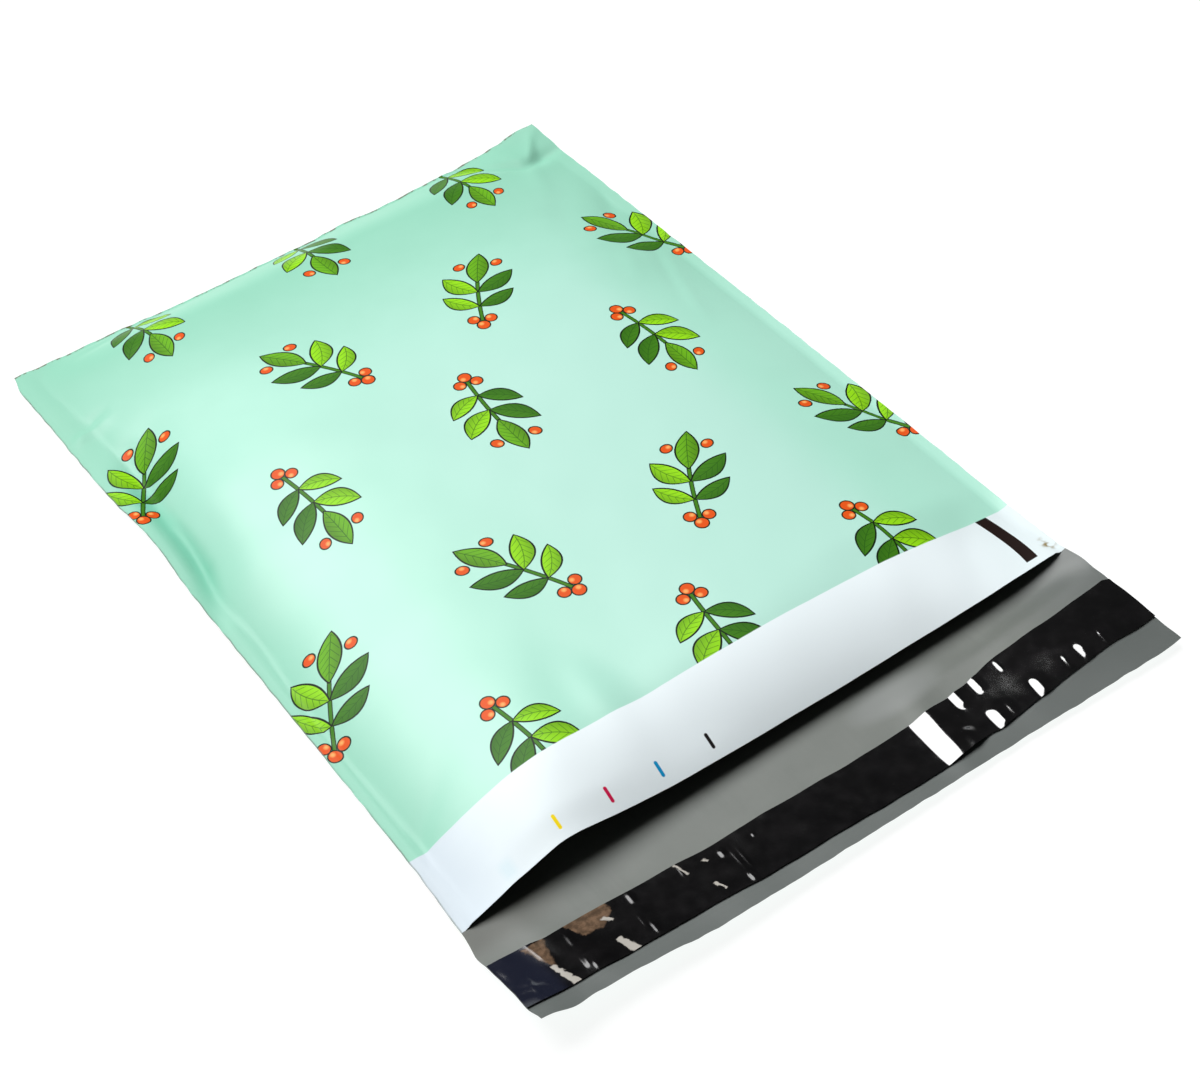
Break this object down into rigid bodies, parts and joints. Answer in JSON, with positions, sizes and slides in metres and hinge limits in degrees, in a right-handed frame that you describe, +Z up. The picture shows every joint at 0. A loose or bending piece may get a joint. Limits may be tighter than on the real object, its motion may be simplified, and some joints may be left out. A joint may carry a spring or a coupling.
{
  "type": "poly mailer bag",
  "caption": "Flat printed film mailing bag, folded at the bottom and welded up the sides, lying face up with its mouth open and a flap carrying a covered adhesive strip.",
  "frame": {"origin": "on the surface the bag lies on, under the middle of its bounding box", "axes": "+X across the bag towards its right weld seen from above with the mouth nearest, +Y from the mouth to the bottom fold, +Z up through the front panel"},
  "size_m": [0.254, 0.381, 0.0242],
  "materials": {
    "bag_film": "satin co-extruded polythene film, printed mint outside with a white band at the mouth, silver grey inside",
    "adhesive_strip": "tacky hot-melt adhesive",
    "release_liner": "glossy black release film, slightly crinkled"
  },
  "bodies": {
    "root": {"bag_film": "bag_film", "adhesive_strip": "adhesive_strip", "release_liner": "release_liner"}
  },
  "joints": []
}
